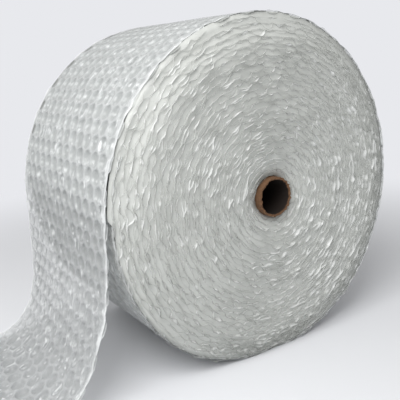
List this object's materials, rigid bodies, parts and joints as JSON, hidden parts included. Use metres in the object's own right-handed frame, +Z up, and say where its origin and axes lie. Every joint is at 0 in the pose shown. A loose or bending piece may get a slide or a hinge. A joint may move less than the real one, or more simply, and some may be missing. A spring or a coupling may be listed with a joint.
{
  "type": "bubble wrap roll",
  "caption": "Part-used roll of clear bubble wrap on a cardboard core, lying on its side with its free end hanging down and out over the floor.",
  "frame": {"origin": "middle of the core's bore", "axes": "+Z up; +Y along the core's bore, from the roll's front end to its back end; the free end hangs on the -X side and runs out towards -X"},
  "size_m": [0.7069, 0.323, 0.4978],
  "materials": {
    "bubble_film": "clear polyethylene film with air bubbles, milky white in the thickness of the roll",
    "core_board": "spirally wound brown kraft board, cut ends a little frayed"
  },
  "bodies": {
    "root": {"bubble_web": "bubble_film", "core_tube": "core_board"}
  },
  "joints": []
}
